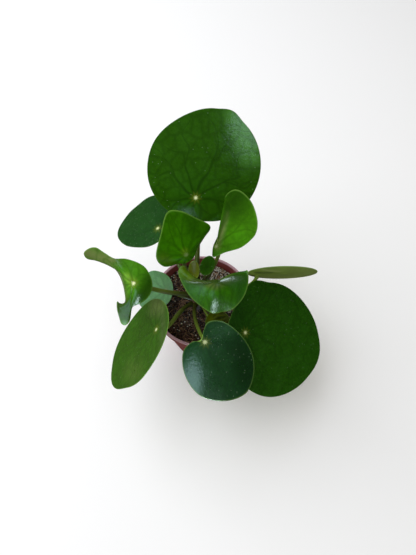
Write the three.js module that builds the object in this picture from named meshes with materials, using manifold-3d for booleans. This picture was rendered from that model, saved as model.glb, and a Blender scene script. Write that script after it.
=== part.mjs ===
// Potted Chinese money plant: round leaves on long stalks, in a small plastic pot of compost.
// Millimetres, +Z up. The origin is the middle of the pot's flat base, on the surface it stands on,
// and -Y is the side that the plant is mostly seen from.

import * as THREE from "three";
import { mergeVertices } from "three/addons/utils/BufferGeometryUtils.js";
import Module from "manifold-3d";

const GAP = 0.3; // clear space between pieces that touch

const POT = {
  height: 78,
  baseRadius: 31,
  skirtRadius: 41.6, // the wall just under the rim's skirt
  skirtZ: 64,
  rimRadius: 45,
  lip: 2.2, // how wide the rim's top is
  edge: 0.8, // rounding of the base's edge
  skirtStep: 1.4, // how far the rim's skirt stands out from the wall
  skirtRise: 0.6,
  rimDrop: 1.2, // rounding of the rim, down its side
  rimRound: 0.9, // and across its top
  wall: 1.3,
  floor: 1.6,
  sides: 48,
  holes: 6,
  holeRadius: 3,
  holeReach: 21,
  holeSides: 16,
};

const SOIL = { level: 70, crumb: 1.1, holeDepth: 16, rings: 7, sides: 40 };

const STEM = {
  foot: [-5, -3, SOIL.level - SOIL.holeDepth + GAP],
  top: [-2, -2, 114],
  footRadius: 6,
  topRadius: 4.4,
  sides: 14,
  scars: 11, // old leaf scars, one above the other
  scarDepth: 0.4,
  tipShare: 0.55, // the tip's radius, as a share of the stem's
  tipSlope: 4,
};

const BLADE = {
  thick: 1.2,
  handle: 0.45, // how far a rib sets out its own way, as a share of its reach
  ribs: 28,
  rings: 4,
  youngRibs: 20,
  youngRings: 3,
  curledThick: 0.8,
  evenings: 6, // rounds of evening out a blade that folds
};
const STALK = { sides: 8, steps: 9, taper: 0.25, seatGap: 0.45, curledSeat: 1.65 };

const GREEN = "#2f6a16";
const DEEP_GREEN = "#1f5030";
const BRIGHT_GREEN = "#3f8a1c";
const PALE_GREEN = "#7fa486";
const YOUNG_GREEN = "#6f7d18";
const STALK_GREEN = "#5f6a22";
const BARK = "#4a3a20";
const TERRACOTTA = "#93565a";
const COMPOST = "#33241f";

// One entry a leaf. joint is where its stalk meets the blade. A round blade is a disc of that diameter,
// whose centre lies past the joint by offset diameters towards the tip, which points to bearing, raised
// by pitch and rolled by bank, in degrees. lift is how far its margin rises above the flat disc. Its
// bulges are where the margin leaves the ellipse: at that angle from the tip, by so many millimetres,
// over so many degrees to either side. A curled blade is given by hand as points of its margin, measured
// from the joint, with the way that it faces there. Where the sheet folds on its way to such a point,
// three more numbers say which way it sets out from the joint. stalk: height and bearing of its foot on
// the stem, how far it first runs out and up, the point from which it comes up to the joint, and its
// radius at the foot.
const LEAVES = [
  {
    name: "back_big",
    colour: GREEN,
    joint: [-3.5, 41, 172],
    round: {
      diameter: 86, offset: 0.28, bearing: 75, pitch: 36, bank: 0, lift: -4,
      bulges: [[-17, 2, 16], [38, -3, 52], [120, 1, 40], [190, -2, 30]],
    },
    stalk: { height: 107, bearing: 98, out: 10, up: 18, seat: [4, 14, -19], radius: 2.3 },
  },
  {
    name: "back_left",
    colour: DEEP_GREEN,
    joint: [-35, 34.5, 140],
    round: {
      diameter: 56, offset: 0.31, bearing: 129, pitch: -22, bank: -14, lift: -2,
      bulges: [[-38, 3, 35], [8, 1, 30], [50, 3, 40], [118, -2, 40]],
    },
    stalk: { height: 96, bearing: 140, out: 12, up: 14, seat: [8, -3, -18], radius: 1.9 },
  },
  {
    name: "left_middle",
    colour: BRIGHT_GREEN,
    joint: [-9, -15, 182],
    facing: [0.1, -0.45, 0.87],
    margin: [
      [16, 22, 2], [6, 20, 15], [-3, 20, 22], [-11, 19, 23], [-16, 8, 14], [-20, -2, 0],
      [-16, -3, -10], [-7, 5, -20], [3, 14, -22], [12, 24, -15],
    ],
    stalk: { height: 102, bearing: 128, out: 22, up: 22, seat: [-3, 14, -27], radius: 2 },
  },
  {
    name: "right_middle",
    colour: BRIGHT_GREEN,
    joint: [11.5, -2, 172],
    facing: [-0.45, -0.2, 0.87],
    ribs: 36,
    rings: 5,
    margin: [
      [27, 3, 12], [28, 9, 17], [24, 21, 23], [17, 28, 26], [12, 31, 24], [7, 30, 19, 4, 17, 12],
      [6, 27, 11, 4, 15, 11], [5, 23, 1, 3, 10, 8], [3, 17, -7, 2, 7, 4], [0, 10, -10, -1, 4, 1],
      [-2, 2, -9, -3, -1, -1], [-2, -5, -6, -2, -3, -1], [6, -5, 0], [17, -4, 5], [24, 0, 9],
    ],
    stalk: { height: 92, bearing: 55, out: 15, up: 18, seat: [7, 13, -28], radius: 1.9 },
  },
  {
    name: "front_middle",
    colour: BRIGHT_GREEN,
    joint: [12, -24.5, 160],
    facing: [0, 0.3, 0.95],
    handle: 0.4,
    ribs: 36,
    rings: 5,
    margin: [
      [21, 4, 10, 10, 3, 11], [19, 6, 1, 9, 3, 8], [12, 5, -16, 5, 3, -1], [0, 4, -18], [-12, 5, -16],
      [-19, 7, -5, -14, 1, -1], [-21, 9, 2, -16, -1, 0], [-24, 8, 10, -17, -1, -1],
      [-27, 6, 6, -16, -3, -1], [-25, 1, -2], [-19, -6, -11], [-10, -12, -17], [-3, -16, -18],
      [4, -15, -18], [11, -14, -16], [19, -8, -8], [22, -1, 1, 10, 1, 6],
    ],
    stalk: { height: 104, bearing: -60, out: 8, up: 18, seat: [0, -5, -17], radius: 2.2 },
  },
  {
    name: "left_curled",
    colour: BRIGHT_GREEN,
    joint: [-50.5, -16.5, 142],
    facing: [-0.1, 0.1, 0.98],
    ribs: 48,
    rings: 6,
    margin: [
      [13, 3, -8], [7, 16, -4], [-6, 20, 2], [-16, 18, 7, -8, 12, 1], [-23, 22, 9, -13, 15, 3],
      [-29, 25, 11, -15, 17, 4], [-35, 26, 8, -17, 17, 4], [-40, 25, 3, -17, 17, 3],
      [-39, 24, -4, -16, 17, 2], [-30, 24, -7, -15, 15, 1], [-23, 23, -10, -13, 11, 1],
      [-16, 17, -13, -10, 6, 1], [-12, 9, -17, -8, 1, -1], [-10, 1, -20, -6, -4, -3],
      [-9, -8, -20, -5, -10, -7], [-12, -10, -16, -4, -14, -12], [-13, -11, -9, -4, -16, -15],
      [-13, -16, -12, -4, -15, -14], [-12, -20, -16, -4, -14, -13], [-10, -25, -19, -4, -12, -12],
      [-7, -26, -19, -4, -11, -12], [-4, -23, -18, -3, -10, -10], [-3, -17, -15, -2, -10, -7],
      [-2, -14, -12, -1, -8, -4], [5, -11, -11], [11, -5, -10],
    ],
    stalk: { height: 99, bearing: 203, out: 24, up: 18, seat: [6, 6, -15], radius: 2.2 },
  },
  {
    name: "left_pale",
    colour: PALE_GREEN,
    joint: [-31, 2, 93],
    round: {
      diameter: 30, offset: 0.3, bearing: 178, pitch: -9, bank: -9, wide: 1.15, lift: -0.6,
      bulges: [[-67, 2, 40], [40, 3, 40]],
    },
    stalk: { height: 83, bearing: 176, out: 10, up: 3, seat: [2, 1, -6], radius: 1.3 },
  },
  {
    name: "lower_left",
    colour: GREEN,
    joint: [-34, -44.5, 118],
    round: {
      diameter: 77, offset: 0.315, bearing: 186, pitch: -49, bank: 11, lift: 2,
      bulges: [[-60, -11, 100], [50, 4, 35], [110, 2, 60], [172, 4, 52]],
    },
    stalk: { height: 80, bearing: 212, out: 16, up: 8, seat: [9, -1, -8], radius: 2.1 },
  },
  {
    name: "bottom",
    colour: DEEP_GREEN,
    joint: [3.5, -58, 128],
    facing: [-0.1, -0.15, 0.98],
    margin: [
      [-3, 1, 0], [-9, 1, -2], [-16, -5, -6], [-15, -21, -10], [-4, -36, -12], [14, -40, -13],
      [30, -34, -14], [36, -21, -12], [35, -7, -6], [25, 7, 1], [12, 15, 4], [2, 14, 4], [-1, 8, 2],
    ],
    stalk: { height: 84, bearing: 254, out: 18, up: 8, seat: [2, 3, -18], radius: 1.8 },
  },
  {
    name: "right_big",
    colour: GREEN,
    joint: [35.5, -42, 105],
    round: {
      diameter: 95, offset: 0.325, bearing: 0, pitch: -30, bank: 20, lift: 0,
      bulges: [[-60, -1, 40], [-9, 2, 28], [55, -4, 62], [127, 5, 21]],
    },
    stalk: { height: 78, bearing: -42, out: 20, up: 8, seat: [-6, 4, -10], radius: 2.3 },
  },
  {
    name: "right_edge",
    colour: GREEN,
    joint: [46.5, 4, 117],
    round: { diameter: 57, offset: 0.36, bearing: 0, pitch: -1, bank: -72, lift: 2 },
    stalk: { height: 90, bearing: 0, out: 18, up: 12, seat: [-4, -13, -4], radius: 1.9 },
  },
  {
    name: "young_front",
    colour: YOUNG_GREEN,
    joint: [8, -30, 103],
    round: { diameter: 20, offset: 0.3, bearing: -20, pitch: 0, bank: 4, lift: -0.5 },
    young: true,
    stalk: { height: 88, bearing: 292, out: 10, up: 4, seat: [0, 0, -6], radius: 1.2 },
  },
  {
    name: "young_dark",
    colour: GREEN,
    joint: [4.7, 3.5, 131],
    round: { diameter: 16, offset: 0.1, bearing: 60, pitch: 30, bank: 0, wide: 0.7, lift: 0.8 },
    young: true,
    stalk: { height: 110, bearing: 48, out: 2, up: 3, seat: [1, 2, -3], radius: 1.1 },
  },
  {
    name: "young_yellow",
    colour: YOUNG_GREEN,
    joint: [-5.5, 2, 127],
    round: { diameter: 17, offset: 0.1, bearing: 90, pitch: 58, bank: 0, wide: 0.5, lift: 1 },
    young: true,
    stalk: { height: 110, bearing: 128, out: 2, up: 3, seat: [0, 3, -2], radius: 1.1 },
  },
];

const wasm = await Module();
wasm.setup();

const vec = (p) => new THREE.Vector3(...p);
const radians = THREE.MathUtils.degToRad;

// The stem's middle line, the share of it below a height, and its radius at that share.
const stemAxis = new THREE.LineCurve3(vec(STEM.foot), vec(STEM.top));
const stemShare = (z) => (z - STEM.foot[2]) / (STEM.top[2] - STEM.foot[2]);
const stemRadius = (t) => {
  const taper = STEM.footRadius + (STEM.topRadius - STEM.footRadius) * t;
  const waist = STEM.scarDepth * (1 - Math.abs(Math.sin(STEM.scars * Math.PI * t)));
  return (taper - waist) * Math.min(1, STEM.tipShare + STEM.tipSlope * (1 - t));
};

// A closed solid from points and triangles, ready to draw.
function geometryOf(points, triangles) {
  const g = new THREE.BufferGeometry();
  const flat = points.flatMap((p) => [p.x, p.y, p.z]);
  g.setAttribute("position", new THREE.Float32BufferAttribute(flat, 3));
  g.setIndex(triangles.flat());
  g.computeVertexNormals();
  return g;
}

function solidOf(geometry) {
  const plain = geometry.clone();
  plain.deleteAttribute("normal");
  plain.deleteAttribute("uv");
  const merged = mergeVertices(plain, 1e-4);
  return new wasm.Manifold(
    new wasm.Mesh({
      numProp: 3,
      vertProperties: new Float32Array(merged.attributes.position.array),
      triVerts: new Uint32Array(merged.index.array),
    }),
  );
}

function geometryFromSolid(solid) {
  const m = solid.getMesh();
  const points = [];
  for (let i = 0; i < m.numVert; i++) {
    points.push(vec(m.vertProperties.subarray(i * m.numProp, i * m.numProp + 3)));
  }
  const triangles = [];
  for (let i = 0; i < m.triVerts.length; i += 3) triangles.push([...m.triVerts.subarray(i, i + 3)]);
  return geometryOf(points, triangles);
}

function piece(name, geometry, color, roughness) {
  const mesh = new THREE.Mesh(geometry, new THREE.MeshStandardMaterial({ color, roughness, metalness: 0 }));
  mesh.name = name;
  return mesh;
}

// A lathed body about +Z from a profile of [radius, height] pairs.
function turned(profile, sides) {
  const points = profile.map(([r, z]) => new THREE.Vector2(r, z));
  return new THREE.LatheGeometry(points, sides).rotateX(Math.PI / 2);
}

// Radius of the pot's inner wall at a height.
function innerRadius(z) {
  const slope = (POT.skirtRadius - POT.baseRadius) / POT.skirtZ;
  return POT.baseRadius + slope * Math.min(z, POT.skirtZ) - POT.wall;
}

function pot() {
  const rimInner = POT.rimRadius - POT.lip;
  const shell = turned(
    [
      [0, 0],
      [POT.baseRadius - POT.edge, 0],
      [POT.baseRadius, POT.edge],
      [POT.skirtRadius, POT.skirtZ],
      [POT.skirtRadius + POT.skirtStep, POT.skirtZ + POT.skirtRise],
      [POT.rimRadius - POT.rimRound / 2, POT.height - 2 * POT.rimDrop],
      [POT.rimRadius, POT.height - POT.rimDrop],
      [POT.rimRadius - POT.rimRound, POT.height],
      [rimInner + POT.rimRound, POT.height],
      [rimInner, POT.height - POT.rimDrop],
      [innerRadius(POT.skirtZ), POT.skirtZ],
      [innerRadius(POT.floor), POT.floor],
      [0, POT.floor],
    ],
    POT.sides,
  );
  let solid = solidOf(shell);
  for (let i = 0; i < POT.holes; i++) {
    const turn = ((i + 0.5) / POT.holes) * 2 * Math.PI;
    const hole = new THREE.CylinderGeometry(POT.holeRadius, POT.holeRadius, 4 * POT.floor, POT.holeSides)
      .rotateX(Math.PI / 2)
      .translate(POT.holeReach * Math.cos(turn), POT.holeReach * Math.sin(turn), POT.floor / 2);
    solid = solid.subtract(solidOf(hole));
  }
  return piece("pot", geometryFromSolid(solid), TERRACOTTA, 0.5);
}

// The crumbly top of the compost, as a few waves that run across each other.
function crumbs(x, y) {
  const waves =
    Math.sin(0.41 * x + 0.9) * Math.cos(0.37 * y) +
    0.6 * Math.sin(0.83 * x - 0.55 * y) +
    0.5 * Math.cos(0.29 * x + 0.97 * y + 2);
  return (SOIL.crumb * waves) / 2;
}

// The compost fills the pot. The stem stands in a plain round hole in it.
function soil() {
  const hole = STEM.footRadius + GAP;
  const wall = innerRadius(SOIL.level) - GAP;
  const floor = POT.floor + GAP;
  const holeFloor = stemAxis.getPoint(0).setZ(STEM.foot[2] - GAP);
  const holeMouth = stemAxis.getPoint(stemShare(SOIL.level));
  const middle = new THREE.Vector3(0, 0, SOIL.level);
  const points = [];
  const ring = (centre, reach, relief) => {
    for (let i = 0; i < SOIL.sides; i++) {
      const turn = (i / SOIL.sides) * 2 * Math.PI;
      const p = new THREE.Vector3(Math.cos(turn), Math.sin(turn), 0).multiplyScalar(reach).add(centre);
      p.z += relief ? crumbs(p.x, p.y) : 0;
      points.push(p);
    }
  };
  ring(holeFloor, hole, false);
  for (let k = 0; k <= SOIL.rings; k++) {
    const along = k / SOIL.rings;
    ring(holeMouth.clone().lerp(middle, along), hole + (wall - hole) * along, true);
  }
  ring(new THREE.Vector3(0, 0, floor), innerRadius(floor) - GAP, false);
  const rings = points.length / SOIL.sides;
  points.push(holeFloor, new THREE.Vector3(0, 0, floor));
  const triangles = [];
  for (let i = 0; i < SOIL.sides; i++) {
    const j = (i + 1) % SOIL.sides;
    triangles.push([rings * SOIL.sides, i, j]);
    for (let r = 0; r < rings - 1; r++) {
      const a = r * SOIL.sides;
      const b = a + SOIL.sides;
      triangles.push([a + i, b + i, b + j], [a + i, b + j, a + j]);
    }
    const last = (rings - 1) * SOIL.sides;
    triangles.push([rings * SOIL.sides + 1, last + j, last + i]);
  }
  return piece("soil", geometryOf(points, triangles), COMPOST, 1);
}

// A solid tube along a curve, with radius(t) for t from 0 to 1 and a flat cap on each end.
function tube(curve, radius, sides, steps) {
  const frames = curve.computeFrenetFrames(steps, false);
  const points = [];
  for (let k = 0; k <= steps; k++) {
    const centre = curve.getPointAt(k / steps);
    for (let i = 0; i < sides; i++) {
      const turn = (i / sides) * 2 * Math.PI;
      const out = frames.normals[k]
        .clone()
        .multiplyScalar(Math.cos(turn))
        .addScaledVector(frames.binormals[k], Math.sin(turn));
      points.push(centre.clone().addScaledVector(out, radius(k / steps)));
    }
  }
  const first = points.length;
  points.push(curve.getPointAt(0), curve.getPointAt(1));
  const triangles = [];
  for (let i = 0; i < sides; i++) {
    const j = (i + 1) % sides;
    triangles.push([first, j, i], [first + 1, steps * sides + i, steps * sides + j]);
    for (let k = 0; k < steps; k++) {
      const a = k * sides;
      const b = a + sides;
      triangles.push([a + i, a + j, b + j], [a + i, b + j, b + i]);
    }
  }
  return geometryOf(points, triangles);
}

// The stem narrows between its old leaf scars and closes in at the growing tip.
function stem() {
  return piece("stem", tube(stemAxis, stemRadius, STEM.sides, 2 * STEM.scars), BARK, 0.8);
}

// The blade's own axes: u towards the tip, v to its left, w out of its upper face.
function axesOf({ bearing, pitch, bank }) {
  const turn = new THREE.Euler(radians(bank), -radians(pitch), radians(bearing), "ZYX");
  const m = new THREE.Matrix4().makeRotationFromEuler(turn);
  const [u, v, w] = [new THREE.Vector3(), new THREE.Vector3(), new THREE.Vector3()];
  m.extractBasis(u, v, w);
  return { u, v, w };
}

// The rib to a margin point sets out towards it, square to w, for that share of its reach.
const plainWay = (p, w, share) => p.clone().addScaledVector(w, -p.dot(w)).setLength(share * p.length());

// How far the margin of a round blade lies outside its ellipse at an angle from the tip.
function swell(bulges, degrees) {
  let sum = 0;
  for (const [angle, depth, width] of bulges) {
    const off = Math.abs(THREE.MathUtils.euclideanModulo(degrees - angle + 180, 360) - 180);
    if (off < width) sum += (depth / 2) * (1 + Math.cos((Math.PI * off) / width));
  }
  return sum;
}

// Points round the blade's margin, measured from the joint, and the way in which the rib to each sets out.
function marginOf(leaf, ribs) {
  const reach = leaf.handle ?? BLADE.handle;
  if (leaf.margin) {
    const w = vec(leaf.facing).normalize();
    const corners = leaf.margin.map((row) => vec(row.slice(0, 3)));
    const turns = leaf.margin.map((row, i) => {
      if (row.length === 3) return new THREE.Vector3();
      return vec(row.slice(3)).sub(plainWay(corners[i], w, reach));
    });
    const edge = new THREE.CatmullRomCurve3(corners, true, "centripetal");
    const turn = new THREE.CatmullRomCurve3(turns, true, "catmullrom");
    const rim = [];
    const ways = [];
    for (let i = 0; i < ribs; i++) {
      const t = edge.getUtoTmapping(i / ribs);
      const p = edge.getPoint(t);
      rim.push(p);
      ways.push(plainWay(p, w, reach).add(turn.getPoint(t)));
    }
    return { rim, ways };
  }
  const { diameter, offset, wide = 1, lift, bulges = [] } = leaf.round;
  const { u, v, w } = axesOf(leaf.round);
  const rim = [];
  for (let i = 0; i < ribs; i++) {
    const turn = (i / ribs) * 2 * Math.PI;
    const more = swell(bulges, (i / ribs) * 360);
    const along = diameter * (offset + 0.5 * Math.cos(turn)) + more * Math.cos(turn);
    const across = (diameter * 0.5 * wide + more) * Math.sin(turn);
    const p = new THREE.Vector3().addScaledVector(u, along).addScaledVector(v, across);
    rim.push(p.addScaledVector(w, lift));
  }
  const ways = rim.map((p) => plainWay(p, w, reach));
  return { rim, ways };
}

// A blade folds where its ribs set out another way than straight to the margin.
const folds = (leaf) => Boolean(leaf.margin?.some((row) => row.length > 3));
const halfThick = (leaf) => (folds(leaf) ? BLADE.curledThick : BLADE.thick) / 2;

// Moves each of those rows halfway to the mean of its neighbours; centre is what the first row starts from.
function evenOut(rows, centre, last) {
  const before = rows.map((row) => row.map((p) => p.clone()));
  for (let k = 0; k < last; k++) {
    const count = rows[k].length;
    for (let i = 0; i < count; i++) {
      const near = before[k][(i + 1) % count].clone().add(before[k][(i + count - 1) % count]);
      near.add(k ? before[k - 1][i] : centre);
      near.add(k + 1 < rows.length ? before[k + 1][i] : before[k][i]);
      rows[k][i].lerp(near.divideScalar(4), 0.5);
    }
  }
}

// The middle of the blade's thickness: ribs set out from the joint their own way and bend to the margin.
function middleSheet(leaf, ribs, rings) {
  const { rim, ways } = marginOf(leaf, ribs);
  const joint = vec(leaf.joint);
  const rows = [];
  for (let k = 1; k <= rings; k++) {
    const s = k / rings;
    const set = ways.map((way) => joint.clone().addScaledVector(way, 2 * s * (1 - s)));
    rows.push(set.map((p, i) => p.addScaledVector(rim[i], s * s)));
  }
  for (let round = 0; folds(leaf) && round < BLADE.evenings; round++) evenOut(rows, joint, rings - 1);
  const points = [joint.clone(), ...rows.flat()];
  const triangles = [];
  for (let i = 0; i < ribs; i++) {
    const j = (i + 1) % ribs;
    triangles.push([0, 1 + i, 1 + j]);
    for (let k = 0; k < rings - 1; k++) {
      const a = 1 + k * ribs;
      const b = a + ribs;
      triangles.push([a + i, b + i, b + j], [a + i, b + j, a + j]);
    }
  }
  return { points, triangles };
}

// Two skins, split into triangles alike, half the thickness to each side of the middle sheet.
function blade(leaf) {
  const ribs = leaf.ribs ?? (leaf.young ? BLADE.youngRibs : BLADE.ribs);
  const rings = leaf.rings ?? (leaf.young ? BLADE.youngRings : BLADE.rings);
  const { points, triangles } = middleSheet(leaf, ribs, rings);
  const normals = geometryOf(points, triangles).attributes.normal;
  const count = points.length;
  const out = points.map((p, i) => new THREE.Vector3().fromBufferAttribute(normals, i));
  if (folds(leaf)) {
    const rows = Array.from({ length: rings }, (_, k) => out.slice(1 + k * ribs, 1 + (k + 1) * ribs));
    for (let round = 0; round < BLADE.evenings; round++) evenOut(rows, out[0], rings);
    out.forEach((way) => way.normalize());
  }
  const skins = [halfThick(leaf), -halfThick(leaf)].flatMap((depth) =>
    points.map((p, i) => p.clone().addScaledVector(out[i], depth)),
  );
  const faces = triangles.flatMap(([a, b, c]) => [
    [a, b, c],
    [a + count, c + count, b + count],
  ]);
  const first = 1 + (rings - 1) * ribs;
  for (let i = 0; i < ribs; i++) {
    const a = first + i;
    const b = first + ((i + 1) % ribs);
    faces.push([a, a + count, b + count], [a, b + count, b]);
  }
  return piece(leaf.name + "_blade", geometryOf(skins, faces), leaf.colour, 0.35);
}

// The stalk runs from the side of the stem to the underside of its blade.
function stalk(leaf) {
  const { height, bearing, out, up, seat, radius } = leaf.stalk;
  const w = leaf.margin ? vec(leaf.facing).normalize() : axesOf(leaf.round).w;
  const away = new THREE.Vector3(Math.cos(radians(bearing)), Math.sin(radians(bearing)), 0);
  const rise = new THREE.Vector3(0, 0, up).addScaledVector(away, out);
  const share = stemShare(height);
  const tilt = up / Math.hypot(out, up);
  const foot = stemAxis.getPoint(share);
  foot.addScaledVector(away, stemRadius(share) + GAP + radius * tilt);
  const below = leaf.margin ? STALK.curledSeat : halfThick(leaf) + STALK.seatGap;
  const end = vec(leaf.joint).addScaledVector(w, -below);
  const curve = new THREE.CubicBezierCurve3(foot, foot.clone().add(rise), end.clone().add(vec(seat)), end);
  const taper = (t) => radius * (1 - STALK.taper * Math.sin((Math.PI * t) / 2));
  return piece(leaf.name + "_stalk", tube(curve, taper, STALK.sides, STALK.steps), STALK_GREEN, 0.55);
}

const plant = new THREE.Group();
plant.add(pot(), soil(), stem());
for (const leaf of LEAVES) plant.add(blade(leaf), stalk(leaf));

export default plant;
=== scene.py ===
"""A young Chinese money plant in a small plastic pot.

Round, fleshy leaves stand on long stalks that fan out from one short stem. The model is in metres, with the
origin in the middle of the pot's flat base and +Z up. The leaf tables are in millimetres.
"""

from collections import namedtuple
from math import cos, exp, hypot, pi, radians, sin

import bpy
import numpy as np
from mathutils import Matrix, Vector


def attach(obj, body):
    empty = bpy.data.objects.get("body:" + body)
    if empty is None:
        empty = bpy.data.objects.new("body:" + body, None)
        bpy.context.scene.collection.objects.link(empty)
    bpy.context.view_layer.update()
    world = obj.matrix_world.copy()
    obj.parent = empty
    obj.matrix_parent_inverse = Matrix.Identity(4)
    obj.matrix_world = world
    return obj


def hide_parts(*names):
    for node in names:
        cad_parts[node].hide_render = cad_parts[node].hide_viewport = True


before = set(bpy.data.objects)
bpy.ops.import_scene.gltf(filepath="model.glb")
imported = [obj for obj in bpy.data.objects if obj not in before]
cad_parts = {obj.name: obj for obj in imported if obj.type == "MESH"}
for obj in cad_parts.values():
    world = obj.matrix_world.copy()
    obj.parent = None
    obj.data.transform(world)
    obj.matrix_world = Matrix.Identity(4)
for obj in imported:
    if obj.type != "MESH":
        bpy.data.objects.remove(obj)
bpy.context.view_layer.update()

bl_info = {
    "name": "Potted Chinese money plant",
    "version": (1, 0, 0),
    "blender": (4, 5, 0),
    "location": "View3D > Sidebar > Money Plant",
    "description": "Builds a young Chinese money plant in a small plastic pot",
    "category": "Object",
}

MM = 0.001

# A round blade is a disc of that diameter whose centre lies past the joint by offset diameters towards the
# tip, which points to bearing, raised by pitch and rolled by bank, in degrees. lift is how far its margin
# rises, and wide its width for a length of 1. Its bulges are where its margin leaves that ellipse: at that
# angle from the tip, by so many mm, over so many degrees to either side.
Disc = namedtuple("Disc", "diameter offset bearing pitch bank lift wide bulges", defaults=(1, ()))
# Height and bearing of a stalk's foot on the stem, how far it first runs out and up, the point from which it
# comes up to the joint, and its radius.
Stalk = namedtuple("Stalk", "height bearing out up seat radius")

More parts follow.
